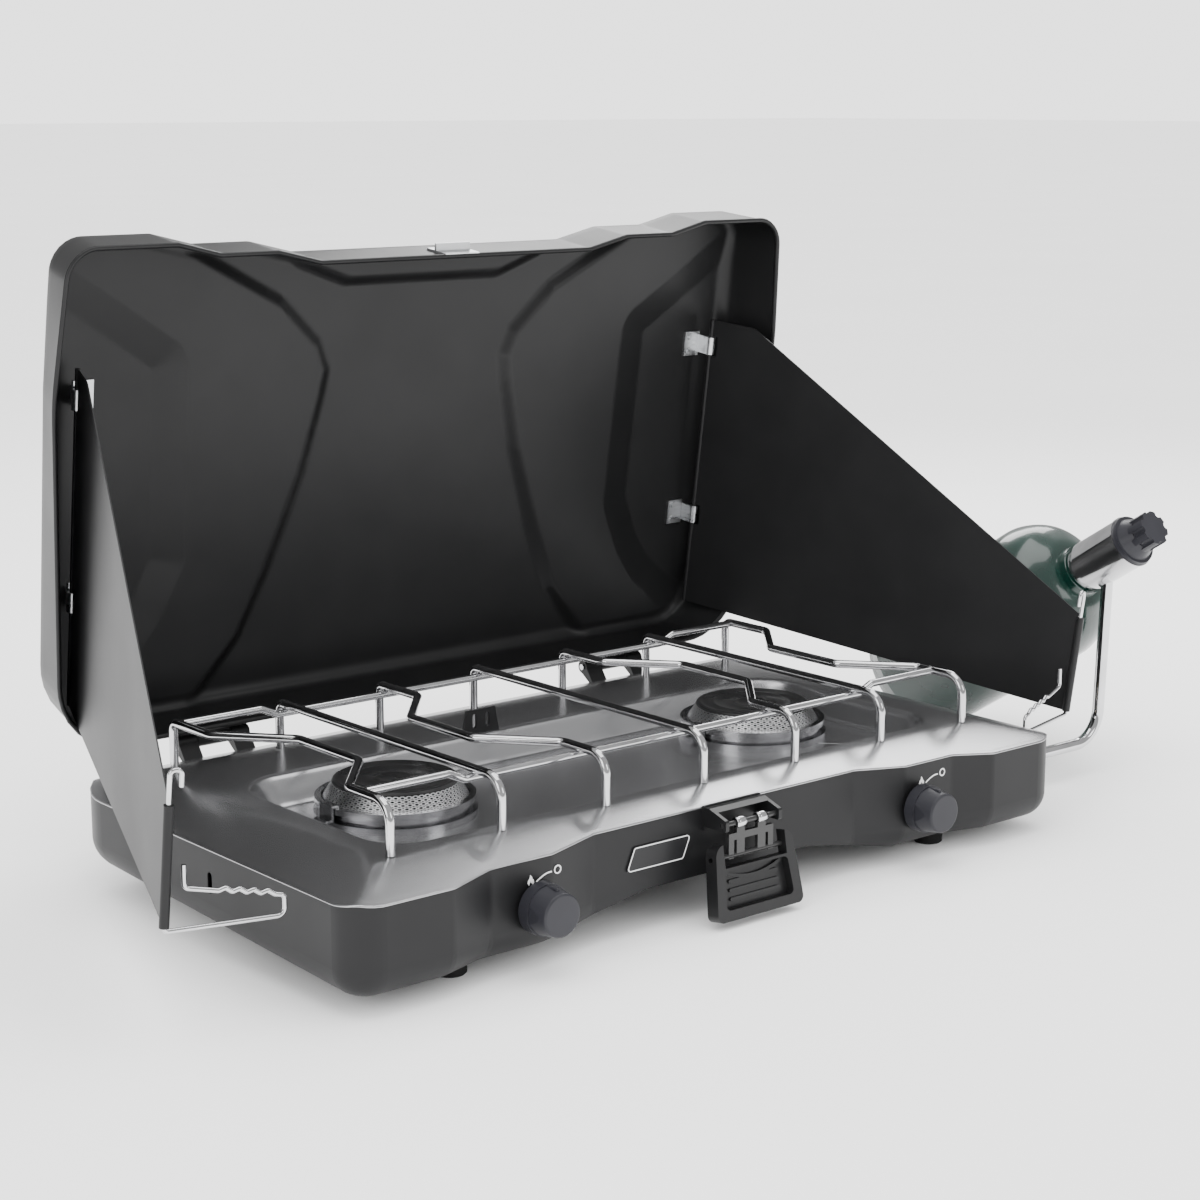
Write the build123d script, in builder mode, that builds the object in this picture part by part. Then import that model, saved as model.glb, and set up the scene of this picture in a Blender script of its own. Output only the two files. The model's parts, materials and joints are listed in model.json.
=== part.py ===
from build123d import *
import math
import os

# Two-burner propane camp stove, standing open with its lid up and its windscreens out.
# Millimetres. +X is the stove's right, +Y its back and +Z up. The origin is the middle of the
# cooking grate, dropped to the plane that the four rubber feet stand on.

os.makedirs("parts", exist_ok=True)

# ---- driving dimensions: the case ----
CASE_HALF_WIDTH = 267.0
CASE_REAR = 155.0
FRONT_END = -145.5       # front panel beside the corners
FRONT_MID = -137.5       # first step back, where the knobs are
FRONT_CENTRE = -129.5    # second step back, where the latch is
FLOOR_Z = 8.0            # height of the case's underside at its front edge
FLOOR_RISE = 11.0        # how much higher the underside is at the back of the case
RIM_Z = 60.0
COOKTOP_Z = 70.0
WALL = 1.0
FRONT_CORNER_R = 20.0
REAR_CORNER_R = 45.0
BOTTOM_R = 16.0
ARCH_Z = 25.0            # underside of the raised middle of the front skirt
ARCH_HALF = 62.0         # half width of the flat part of that underside
SLOT_Y = -9.0            # slot in each side for a windscreen's prop wire
SLOT_Z = 41.0

# ---- driving dimensions: the cooktop ----
LEDGE_HALF_WIDTH = 230.0
LEDGE_FRONT = -110.0
LEDGE_REAR = 118.0
SHEET = 1.0
BASIN_Z = 54.0
BASIN_HALF_WIDTH = 212.0
BASIN_FRONT = -98.0
BASIN_REAR = 62.0
BASIN_SLOPE = 14.0       # width of the basin's sloping wall
WELL_R = 36.0

# ---- driving dimensions: grate and burners ----
WIRE_PITCH = 72.5
WIRE_R = 2.6
RAIL_R = 2.3
GRATE_TOP_Z = 101.0
GRATE_FRONT = -107.0
GRATE_REAR = 111.0
JOG = 34.0
BURNER_X = 139.0
FLANGE_LOW_Z = 50.0      # bottom of the flange that locates the cooktop in the case

# ---- driving dimensions: lid ----
HINGE_Y = 166.0
HINGE_Z = 68.5
LID_LEAN = 8.0           # degrees that the open lid leans towards the front
LID_RIM_W = 8.5          # rim plane, in front of the hinge axis
LID_PANEL_W = -33.5      # inside of the lid's panel
LID_REAR_V = 9.0
LID_STEP_V = 222.0       # height at which the lid's sides are widest
LID_TOP_V = 307.5
LID_DIP_V = 300.5
LID_MIDDLE_V = 293.3     # top edge between the two shoulders
LID_BACK_HALVES = (261.0, 262.5, 261.0)   # half widths at the bottom, step and top
LID_RIM_HALVES = (266.5, 276.0, 268.5)

# ---- driving dimensions: windscreens ----
SCREEN_HINGE_X = 245.0
SCREEN_HINGE_W = -23.0
SCREEN_LENGTH = 294.0
SCREEN_FLARE = 19.0
SCREEN_SHEET = 0.8
SCREEN_LOW_V = 21.0
SCREEN_ROD_LOW_V = 27.0
SCREEN_TOP_V = 232.0
SCREEN_TOP_LENGTH = 33.0  # level part of the top edge, next to the lid
SCREEN_END_V = 88.0
HEM_R = 2.6
PROP_R = 1.25
PROP_SWING = 15.0        # degrees that the prop wire points forward of square to the case

# ---- driving dimensions: regulator arm and gas cylinder ----
ARM_X = 396.0
INLET_Y = -71.5
INLET_Z = 21.0
ARM_TILT = 2.1
ARM_HEIGHT = 130.0
TUBE_R = 4.0
GAS_AXIS_RISE = 32.5
CYLINDER_R = 49.3
CYLINDER_BASE_T = -203.0

# ---- driving dimensions: knobs and latch ----
KNOB_X = 146.0
KNOB_Z = 35.5
KNOB_R = 14.4
KNOB_SKIRT = 7.0         # thickness of the round skirt behind the grip
FLAT_DEPTH = 1.8         # how far each grip flat is cut in from the skirt
KNOB_BACK = 140.5        # distance of a knob's back from the burners' centre line
STEM_R = 3.0
LATCH_Y = -146.0
LATCH_Z = 57.0

HANDLE_PIVOT_Z = 38.5
HANDLE_LEAN = 10.0       # degrees that the hanging handle leans out at the bottom
LATCH_PIN_R = 1.5
HANDLE_TOP = 29.0        # half width of the handle at its top, and at its bottom
HANDLE_BOTTOM = 33.0
HANDLE_DROP = 35.0       # how far the handle hangs below its pivot
RIB_S = [-14, -19, -24]  # grip ribs, along the handle from its pivot

# ---- smaller sizes ----
FEET = [(-184, -112), (184, -112), (-184, 115), (184, 115)]
FOOT_R = 9.0
BOWL_R = 35.5
BOWL_Z = 26.0
MESH_R = 42.0
CAP_R = 36.0
VENTURI_R = 8.5
VALVE_BACK = 104.0       # distance of a gas valve's back from the burners' centre line
STEM_BACK = 118.0
KNOB_FACE = -160.0
PIPE_R = 3.0
VALVE_FEED_Y = -115.0
INLET_BACK = 250.0
INLET_FACE = 272.0
TUBE_START_X = 258.0
CLIP_Y = 65.0
LEDGE_W = -28.0          # face of the ledge pressed out of the lid's panel
HINGE_X = 160.0          # middle of each lid hinge
LEAF_HALF = 25.0
KNUCKLE_HALF = 11.5      # half width of a hinge's middle knuckle, which the lid carries
KNUCKLE_R = 4.5
HINGE_PIN_R = 2.0
BARREL_V = [91.7, 213.8]  # the two brackets that carry a windscreen
BARREL_HALF = 6.0
BARREL_R = 3.0
SCREEN_ROD_R = 1.5
HOOK_V = 104.0           # top of the prop wire's hook
PROP_LOW_V = 18.6
PROP_REACH = 62.0
CRIMP_PITCH = 3.6        # spacing of the crimps in the prop wire that catch on the case
CRIMP_LIFT = 0.9
GAS_NECK_R = 12.5
SOCKET_T = -13.0         # bottom of the regulator's socket for the cylinder

lean = math.radians(LID_LEAN)
LID_PLANE = Plane(
    origin=(0, HINGE_Y, HINGE_Z),
    x_dir=(1, 0, 0),
    z_dir=(0, -math.cos(lean), -math.sin(lean)),
)
SIDES = {"left": -1, "right": 1}
floor_slope = math.atan2(FLOOR_RISE, CASE_REAR - FRONT_END)
FLOOR_PLANE = Plane(
    origin=(0, FRONT_END, FLOOR_Z),
    x_dir=(1, 0, 0),
    z_dir=(0, -math.sin(floor_slope), math.cos(floor_slope)),
)


def finish(builder, name):
    """Labels a finished piece and writes its STEP file."""
    builder.part.label = name
    export_step(builder.part, f"parts/{name}.step")


def rod(points, bends, radius):
    """A round bar along a route of straight runs and bends."""
    with BuildPart() as bar:
        with BuildLine() as route:
            FilletPolyline(*points, radius=bends)
        with BuildSketch(route.line ^ 0):
            Circle(radius)
        sweep()
    return bar.part


def round_bar(start, end, radius):
    """A straight round bar between two points."""
    run = Vector(*end) - Vector(*start)
    with BuildPart() as bar:
        with BuildSketch(Plane(origin=start, z_dir=run)):
            Circle(radius)
        extrude(amount=run.length)
    return bar.part


def lid_point(x, v, w):
    """A point given along the lid (v) and out of the lid (w) from the hinge axis."""
    return LID_PLANE.from_local_coords(Vector(x, v, w))


# =============================== case and cooktop ===============================
def case_profile(inset=0.0):
    """Outline of the case from above, with the two-step recess in its front."""
    half = CASE_HALF_WIDTH - inset
    left = [
        (-half, FRONT_END + inset),
        (-205, FRONT_END + inset),
        (-176, FRONT_MID + inset),
        (-135, FRONT_MID + inset),
        (-100, FRONT_CENTRE + inset),
    ]
    right = [(-x, y) for x, y in reversed(left)]
    corners = left + right + [(half, CASE_REAR - inset), (-half, CASE_REAR - inset)]
    front_r = FRONT_CORNER_R - inset
    rear_r = REAR_CORNER_R - inset
    radii = [front_r] + [12.0] * 8 + [front_r, rear_r, rear_r]
    with BuildSketch() as profile:
        with BuildLine():
            FilletPolyline(*corners, radius=radii, close=True)
        make_face()
    return profile.sketch


def bevel_tool(drop=0.0):
    """What stands above the four slopes from the rim up to the cooktop ledge."""
    rim = RIM_Z - drop
    top = COOKTOP_Z - drop
    far = 60.0

    def wedge(inner, outer):
        rise = (top - rim) / (outer - inner)
        return [(inner, top), (outer + far, rim - far * rise), (outer + far, top + far),
                (inner, top + far)]

    side_wedge = wedge(LEDGE_HALF_WIDTH, CASE_HALF_WIDTH)
    with BuildPart() as tool:
        with BuildSketch(Plane.XZ):
            for side in (1, -1):
                with BuildLine():
                    Polyline(*[(side * a, z) for a, z in side_wedge], close=True)
                make_face()
        extrude(amount=400, both=True)
        with BuildSketch(Plane.YZ):
            with BuildLine():
                Polyline(*[(-a, z) for a, z in wedge(-LEDGE_FRONT, -FRONT_END)], close=True)
            make_face()
            with BuildLine():
                Polyline(*wedge(LEDGE_REAR, CASE_REAR), close=True)
            make_face()
        extrude(amount=400, both=True)
    return tool.part


def arch_tool(grow=0.0):
    """The prism under the raised middle of the front skirt."""
    top = ARCH_Z + grow
    low = FLOOR_Z + 2 + grow
    half = [(ARCH_HALF, top), (95, top - 6), (135 + grow, low), (142 + grow, FLOOR_Z - 3)]
    with BuildPart() as tool:
        with BuildSketch(Plane.XZ.offset(160)):
            with BuildLine():
                Polyline(*half, *[(-x, z) for x, z in reversed(half)], close=True)
            make_face()
        extrude(amount=-(70 + grow))
    return tool.part


with BuildPart() as case_cavity:
    with BuildSketch():
        add(case_profile(WALL))
    extrude(amount=COOKTOP_Z + 10)
    split(bisect_by=FLOOR_PLANE.offset(WALL), keep=Keep.TOP)
    fillet(case_cavity.faces().sort_by(Axis.Z)[0].edges(), BOTTOM_R - WALL)
    add(arch_tool(WALL), mode=Mode.SUBTRACT)

with BuildPart() as case_shell:
    with BuildSketch():
        add(case_profile())
    extrude(amount=COOKTOP_Z)
    split(bisect_by=FLOOR_PLANE, keep=Keep.TOP)
    fillet(case_shell.faces().sort_by(Axis.Z)[0].edges(), BOTTOM_R)
    add(arch_tool(), mode=Mode.SUBTRACT)
    add(bevel_tool(SHEET), mode=Mode.SUBTRACT)
    add(case_cavity.part, mode=Mode.SUBTRACT)
    # holes for the two valve stems
    with BuildSketch(Plane.XZ.offset(125)):
        with Locations((-KNOB_X, KNOB_Z), (KNOB_X, KNOB_Z)):
            Circle(5)
    extrude(amount=30, mode=Mode.SUBTRACT)
    # hole for the gas inlet, in the right side
    with BuildSketch(Plane.YZ.offset(CASE_HALF_WIDTH - 8)):
        with Locations((INLET_Y, INLET_Z)):
            Circle(7)
    extrude(amount=12, mode=Mode.SUBTRACT)
    # teardrop slots for the windscreen prop wires, one in each side
    with BuildSketch(Plane.YZ):
        with Locations((SLOT_Y, SLOT_Z)):
            SlotOverall(12, 4.5, rotation=90)
    extrude(amount=CASE_HALF_WIDTH + 5, both=True, mode=Mode.SUBTRACT)
finish(case_shell, "case_shell")


def basin_profile(inset=0.0):
    """Outline of the sunk middle of the cooktop."""
    width = 2 * (BASIN_HALF_WIDTH - inset)
    depth = BASIN_REAR - BASIN_FRONT - 2 * inset
    with BuildSketch() as profile:
        with Locations((0, (BASIN_REAR + BASIN_FRONT) / 2)):
            RectangleRounded(width, depth, 30)
    return profile.sketch


def basin_tool(drop, grow):
    """The sunk middle as a solid, lowered and grown by a sheet thickness for its underside."""
    slope = BASIN_SLOPE / (COOKTOP_Z - BASIN_Z)
    with BuildPart() as tool:
        with BuildSketch(Plane.XY.offset(COOKTOP_Z - drop + 1)):
            add(basin_profile(-slope - grow))
        with BuildSketch(Plane.XY.offset(BASIN_Z - drop)):
            add(basin_profile(BASIN_SLOPE - grow))
        loft(ruled=True)
    return tool.part


def under_cooktop():
    """Everything below the cooktop sheet, inside its turned-down edge."""
    with BuildPart() as core:
        with BuildSketch(Plane.XY.offset(RIM_Z - 20)):
            add(case_profile(WALL + SHEET))
        extrude(amount=COOKTOP_Z - RIM_Z + 20)
        add(bevel_tool(SHEET), mode=Mode.SUBTRACT)
        with BuildSketch(Plane.XY.offset(COOKTOP_Z - SHEET)):
            add(case_profile())
        extrude(amount=5, mode=Mode.SUBTRACT)
        add(basin_tool(SHEET, SHEET), mode=Mode.SUBTRACT)
    return core.part


def stepped(profile_inset, low, drop):
    """The case outline as a solid from a height up to the bevels."""
    with BuildPart() as block:
        with BuildSketch(Plane.XY.offset(low)):
            add(case_profile(profile_inset))
        extrude(amount=COOKTOP_Z - low)
        add(bevel_tool(drop), mode=Mode.SUBTRACT)
    return block.part


with BuildPart() as cooktop:
    add(stepped(0, RIM_Z - 5, 0))
    add(stepped(-5, RIM_Z - 8, SHEET), mode=Mode.SUBTRACT)
    add(stepped(WALL + 0.1, FLANGE_LOW_Z, 0))
    add(under_cooktop(), mode=Mode.SUBTRACT)
    add(basin_tool(0, 0), mode=Mode.SUBTRACT)
    # wells that the burner bowls drop through
    with BuildSketch(Plane.XY.offset(BASIN_Z - 5)):
        with Locations((-BURNER_X, 0), (BURNER_X, 0)):
            Circle(WELL_R)
    extrude(amount=10, mode=Mode.SUBTRACT)
finish(cooktop, "cooktop")

for number, (x, y) in enumerate(FEET):
    with BuildPart() as rubber_foot:
        with BuildSketch():
            with Locations((x, y)):
                Circle(FOOT_R)
        extrude(amount=FLOOR_Z + FLOOR_RISE)
        split(bisect_by=FLOOR_PLANE, keep=Keep.BOTTOM)
        chamfer(rubber_foot.edges().group_by(Axis.Z)[0], 1)
    finish(rubber_foot, f"rubber_foot_{number + 1}")

# =============================== burners and gas train ===============================
for side, sign in SIDES.items():
    burner_plane = Plane(origin=(sign * BURNER_X, 0, 0), x_dir=(1, 0, 0), z_dir=(0, -1, 0))
    valve_plane = Plane(origin=(sign * KNOB_X, 0, KNOB_Z), x_dir=(1, 0, 0), z_dir=(0, -1, 0))

    with BuildPart() as burner_bowl:
        with BuildSketch(burner_plane):
            with BuildLine():
                Polyline(
                    (0, BOWL_Z),
                    (BOWL_R, BOWL_Z),
                    (BOWL_R, BASIN_Z),
                    (47, BASIN_Z),
                    (47, 58),
                    (43, 59),
                    (43, 61.5),
                    (46, 62.5),
                    (46, 66),
                    (MESH_R + 0.3, 66),
                    (MESH_R + 0.3, 63),
                    (40, 63),
                    (40, 59.5),
                    (BOWL_R - 1.2, 55.5),
                    (BOWL_R - 1.2, BOWL_Z + 1.2),
                    (0, BOWL_Z + 1.2),
                    close=True,
                )
            make_face()
        revolve(axis=Axis((sign * BURNER_X, 0, 0), (0, 0, 1)))
        with BuildSketch(valve_plane.offset(20)):
            Circle(VENTURI_R + 0.1)
        extrude(amount=25, mode=Mode.SUBTRACT)
    finish(burner_bowl, f"burner_bowl_{side}")

    with BuildPart() as burner_mesh:
        with BuildSketch(burner_plane):
            with BuildLine():
                Polyline(
                    (MESH_R, 63),
                    (MESH_R, 65),
                    (CAP_R, 73.5),
                    (CAP_R - 1, 73.5),
                    (MESH_R - 1.2, 64.6),
                    (MESH_R - 1.2, 63),
                    close=True,
                )
            make_face()
        revolve(axis=Axis((sign * BURNER_X, 0, 0), (0, 0, 1)))
    finish(burner_mesh, f"burner_mesh_{side}")

    with BuildPart() as burner_cap:
        with BuildSketch(Plane.XY.offset(73.5)):
            with Locations((sign * BURNER_X, 0)):
                Circle(CAP_R)
        extrude(amount=2.2)
        fillet(burner_cap.edges().group_by(Axis.Z)[-1], 1.5)
        with BuildSketch(Plane.XY.offset(75)):
            with Locations((sign * BURNER_X, 0)):
                Circle(CAP_R - 9)
        extrude(amount=2, taper=40, mode=Mode.SUBTRACT)
    finish(burner_cap, f"burner_cap_{side}")

    with BuildPart() as venturi_tube:
        with BuildSketch(valve_plane.offset(33)):
            Circle(VENTURI_R)
            Circle(VENTURI_R - 1, mode=Mode.SUBTRACT)
        extrude(amount=VALVE_BACK - 33)
        with BuildSketch(Plane.YZ.offset(sign * KNOB_X)):
            with Locations((-(VALVE_BACK - 9), KNOB_Z)):
                SlotOverall(12, 8)
        extrude(amount=12, both=True, mode=Mode.SUBTRACT)
    finish(venturi_tube, f"venturi_tube_{side}")

    with BuildPart() as gas_valve:
        with BuildSketch(valve_plane.offset(VALVE_BACK)):
            RectangleRounded(18, 18, 2.5)
        extrude(amount=-FRONT_MID - WALL - VALVE_BACK)
        with BuildSketch(valve_plane.offset(VALVE_BACK - 16)):
            Circle(4)
        extrude(amount=16)
        with BuildSketch(valve_plane.offset(STEM_BACK - 1)):
            Circle(STEM_R + 0.05)
        extrude(amount=40, mode=Mode.SUBTRACT)
    finish(gas_valve, f"gas_valve_{side}")

    with BuildPart() as valve_stem:
        with BuildSketch(valve_plane.offset(STEM_BACK)):
            Circle(STEM_R)
        extrude(amount=-KNOB_FACE - 4 - STEM_BACK)
    finish(valve_stem, f"valve_stem_{side}")

    with BuildPart() as knob:
        with BuildSketch(valve_plane.offset(KNOB_BACK)):
            Circle(KNOB_R)
        extrude(amount=KNOB_SKIRT)
        with BuildSketch(valve_plane.offset(KNOB_BACK + KNOB_SKIRT)):
            Circle(KNOB_R - 0.8)
        extrude(amount=-KNOB_FACE - KNOB_BACK - KNOB_SKIRT, taper=8)
        fillet(knob.faces().sort_by(Axis.Y)[0].edges(), 1.5)
        # flats to grip, one on each side of the body
        with BuildSketch(valve_plane.offset(KNOB_BACK + KNOB_SKIRT)):
            with Locations((-KNOB_R, 0), (KNOB_R, 0)):
                Rectangle(2 * FLAT_DEPTH, 2 * KNOB_R)
        extrude(amount=20, mode=Mode.SUBTRACT)
        # pointer ridge on the skirt
        with BuildSketch(valve_plane.offset(KNOB_BACK + KNOB_SKIRT - 1)):
            with Locations((0, KNOB_R - 3)):
                RectangleRounded(2.4, 5, 1)
        extrude(amount=9)
        with BuildSketch(valve_plane.offset(100)):
            Circle(STEM_R + 0.02)
        extrude(amount=-KNOB_FACE - 4 - 100, mode=Mode.SUBTRACT)
    finish(knob, f"knob_{side}")

with BuildPart() as burner_clips:
    for sign in SIDES.values():
        with BuildSketch(Plane(origin=(sign * BURNER_X, 0, 0), x_dir=(1, 0, 0), z_dir=(0, -1, 0))):
            for half in (1, -1):
                with BuildLine():
                    Polyline(
                        (half * 46.2, 58.3),
                        (half * 51.5, 58.3),
                        (half * 51.5, 59.7),
                        (half * 47.6, 59.7),
                        (half * 47.6, 67.6),
                        (half * 42.5, 67.6),
                        (half * 42.5, 66.2),
                        (half * 46.2, 66.2),
                        close=True,
                    )
                make_face()
        extrude(amount=6, both=True)
finish(burner_clips, "burner_clips")

with BuildPart() as gas_manifold:
    left_end = [(-KNOB_X, INLET_Y, INLET_Z), (-KNOB_X, VALVE_FEED_Y, INLET_Z)]
    rise = [(-KNOB_X, VALVE_FEED_Y, KNOB_Z - 9)]
    add(rod([(INLET_BACK, INLET_Y, INLET_Z)] + left_end + rise, 5, PIPE_R))
    branch = [(KNOB_X, y, INLET_Z) for y in (INLET_Y, VALVE_FEED_Y)]
    add(rod(branch + [(KNOB_X, VALVE_FEED_Y, KNOB_Z - 9)], 5, PIPE_R))
finish(gas_manifold, "gas_manifold")

with BuildPart() as inlet_fitting:
    with BuildSketch(Plane.YZ.offset(INLET_BACK)):
        with Locations((INLET_Y, INLET_Z)):
            Circle(6.9)
    extrude(amount=INLET_FACE - INLET_BACK)
    with BuildSketch(Plane.YZ.offset(CASE_HALF_WIDTH)):
        with Locations((INLET_Y, INLET_Z)):
            RegularPolygon(10.5, 6)
    extrude(amount=INLET_FACE - CASE_HALF_WIDTH)
    with BuildSketch(Plane.YZ.offset(TUBE_START_X - 2)):
        with Locations((INLET_Y, INLET_Z)):
            Circle(TUBE_R + 0.05)
    extrude(amount=40, mode=Mode.SUBTRACT)
finish(inlet_fitting, "inlet_fitting")

# =============================== trim on the case ===============================
with BuildPart() as badge_plate:
    with BuildSketch(Plane.XZ.offset(-FRONT_CENTRE)):
        with BuildLine():
            FilletPolyline((-78, 37), (-36, 37), (-30, 51), (-72, 51), radius=2, close=True)
        make_face()
    extrude(amount=1)
finish(badge_plate, "badge_plate")

with BuildPart() as regulator_clip:
    with BuildSketch(Plane.XZ.offset(-CLIP_Y)):
        with BuildLine():
            Polyline((-44, 70), (-16, 70), (-19, 85), (-41, 85), close=True)
        make_face()
        with Locations((-35, 78), (-25, 78)):
            SlotOverall(9, 3, rotation=90, mode=Mode.SUBTRACT)
    extrude(amount=1.5)
    with BuildSketch(Plane.XY.offset(COOKTOP_Z)):
        with Locations((-30, CLIP_Y + 4)):
            Rectangle(26, 8)
    extrude(amount=1.2)
finish(regulator_clip, "regulator_clip")

# =============================== front latch ===============================
with BuildPart() as latch_mount:
    with BuildSketch(Plane.XZ.offset(-FRONT_CENTRE)):
        with Locations((0, 58)):
            Rectangle(43, 14)
    extrude(amount=2)
    with BuildSketch(Plane.YZ.offset(-21.5)):
        with BuildLine():
            FilletPolyline(
                (FRONT_CENTRE - 1, 64.5),
                (FRONT_CENTRE - 6, 64.5),
                (LATCH_Y - 3.5, 60),
                (LATCH_Y - 3.5, 53.5),
                (FRONT_CENTRE - 1, 53.5),
                radius=1.5,
                close=True,
            )
        make_face()
    extrude(amount=43)
    with BuildSketch(Plane.YZ.offset(-19)):
        with BuildLine():
            Polyline(
                (FRONT_CENTRE - 2, 63),
                (LATCH_Y - 10, 63),
                (LATCH_Y - 10, 40),
                (FRONT_CENTRE - 2, 40),
                close=True,
            )
        make_face()
    extrude(amount=38, mode=Mode.SUBTRACT)
    with BuildSketch(Plane.YZ.offset(-30)):
        with Locations((LATCH_Y, LATCH_Z)):
            Circle(LATCH_PIN_R + 0.05)
    extrude(amount=60, mode=Mode.SUBTRACT)
finish(latch_mount, "latch_mount")

HANDLE_PLANE = Plane(
    origin=(0, LATCH_Y, HANDLE_PIVOT_Z),
    x_dir=(1, 0, 0),
    z_dir=(0, -math.cos(math.radians(HANDLE_LEAN)), math.sin(math.radians(HANDLE_LEAN))),
)

with BuildPart() as latch_link:
    add(round_bar((-21, LATCH_Y, LATCH_Z), (21, LATCH_Y, LATCH_Z), LATCH_PIN_R))
    add(round_bar((-26, LATCH_Y, HANDLE_PIVOT_Z), (26, LATCH_Y, HANDLE_PIVOT_Z), LATCH_PIN_R))
    for x in (-8, 8):
        add(round_bar((x - 3, LATCH_Y, LATCH_Z), (x + 3, LATCH_Y, LATCH_Z), 3))
    with BuildSketch(Plane.XZ.offset(-LATCH_Y - 1.2)):
        with Locations((-8, (LATCH_Z + HANDLE_PIVOT_Z) / 2), (8, (LATCH_Z + HANDLE_PIVOT_Z) / 2)):
            Rectangle(6, LATCH_Z - HANDLE_PIVOT_Z)
        with Locations((0, 49.5)):
            Rectangle(34, 4)
        with Locations((-15, 44), (15, 44)):
            Rectangle(4, 14)
    extrude(amount=2.4)
finish(latch_link, "latch_link")

with BuildPart() as latch_handle:
    with BuildSketch(HANDLE_PLANE.offset(-4)):
        with BuildLine():
            low = [(-HANDLE_BOTTOM, -HANDLE_DROP), (HANDLE_BOTTOM, -HANDLE_DROP)]
            high = [(HANDLE_TOP, 8), (-HANDLE_TOP, 8)]
            FilletPolyline(*low, *high, radius=[4, 4, 7, 7], close=True)
        make_face()
    extrude(amount=9)
    # the dished front, with its rim
    with BuildSketch(HANDLE_PLANE):
        with BuildLine():
            FilletPolyline((-26, -29), (26, -29), (23.5, -7), (-23.5, -7), radius=3, close=True)
        make_face()
    extrude(amount=10, mode=Mode.SUBTRACT)
    # the hollow back
    with BuildSketch(HANDLE_PLANE.offset(-2)):
        with BuildLine():
            FilletPolyline((-30, -32), (30, -32), (26.6, 12), (-26.6, 12), radius=3, close=True)
        make_face()
    extrude(amount=-10, mode=Mode.SUBTRACT)
    # the window that the link stands in
    with BuildSketch(HANDLE_PLANE.offset(-10)):
        with Locations((0, 4)):
            Rectangle(47, 19)
    extrude(amount=30, mode=Mode.SUBTRACT)
    # grip ribs across the dish
    with BuildSketch(HANDLE_PLANE):
        with Locations(*[(0, s) for s in RIB_S]):
            SlotOverall(38, 2)
    extrude(amount=1)
    with BuildSketch(Plane.YZ.offset(-40)):
        with Locations((LATCH_Y, HANDLE_PIVOT_Z)):
            Circle(LATCH_PIN_R + 0.05)
    extrude(amount=80, mode=Mode.SUBTRACT)
finish(latch_handle, "latch_handle")

# =============================== lid and its hinges ===============================
def lid_profile(half, mid_half, top_half, inset=0.0):
    """Outline of the lid: rounded lower corners, bowed sides and a stepped top edge."""
    right = [
        (half - inset, LID_REAR_V + inset),
        (mid_half - inset, LID_STEP_V),
        (top_half - inset, LID_TOP_V - inset),
        (200, LID_TOP_V - inset),
        (172, LID_DIP_V - inset),
        (133, LID_DIP_V - inset),
        (103, LID_MIDDLE_V - inset),
    ]
    left = [(-x, v) for x, v in reversed(right)]
    half_radii = [45 - inset, 200, 20 - inset, 10, 10, 10, 10]
    with BuildSketch() as profile:
        with BuildLine():
            FilletPolyline(*right, *left, radius=half_radii + half_radii[::-1], close=True)
        make_face()
    return profile.sketch


def lid_block(inset, back_w, front_w):
    """The lid as a drafted solid, its faces drawn in by a wall thickness."""
    with BuildPart() as block:
        with BuildSketch(LID_PLANE.offset(back_w)):
            add(lid_profile(*LID_BACK_HALVES, inset))
        with BuildSketch(LID_PLANE.offset(front_w)):
            add(lid_profile(*LID_RIM_HALVES, inset))
        loft(ruled=True)
    return block.part


LEDGE = [(-93, 288), (-69, 276), (-58, 272), (58, 272), (69, 276), (93, 288)]

with BuildPart() as lid_shell:
    add(lid_block(0, LID_PANEL_W - WALL, LID_RIM_W))
    add(lid_block(WALL, LID_PANEL_W, LID_RIM_W), mode=Mode.SUBTRACT)
    # a ledge pressed forward out of the panel at the top, hollow from behind
    with BuildSketch(LID_PLANE.offset(LID_PANEL_W - WALL / 2)):
        with BuildLine():
            Polyline(*LEDGE, close=True)
        make_face()
    extrude(amount=LEDGE_W - LID_PANEL_W + WALL / 2, taper=15)
    with BuildSketch(LID_PLANE.offset(LID_PANEL_W - WALL)):
        with BuildLine():
            Polyline(*LEDGE, close=True)
        make_face()
        offset(amount=-WALL, mode=Mode.REPLACE)
    extrude(amount=LEDGE_W - LID_PANEL_W, taper=15, mode=Mode.SUBTRACT)
finish(lid_shell, "lid_shell")

with BuildPart() as lid_catch:
    with BuildSketch(Plane.YZ.offset(-13)):
        with BuildLine():
            Polyline(
                *[
                    (lid_point(0, v, w).Y, lid_point(0, v, w).Z)
                    for v, w in [
                        (LID_MIDDLE_V, -12),
                        (LID_MIDDLE_V, 8),
                        (294.6, 8),
                        (294.6, -2),
                        (299, -2.6),
                        (299, -4),
                        (294.6, -4),
                        (294.6, -12),
                    ]
                ],
                close=True,
            )
        make_face()
    extrude(amount=26)
finish(lid_catch, "lid_catch")

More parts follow.
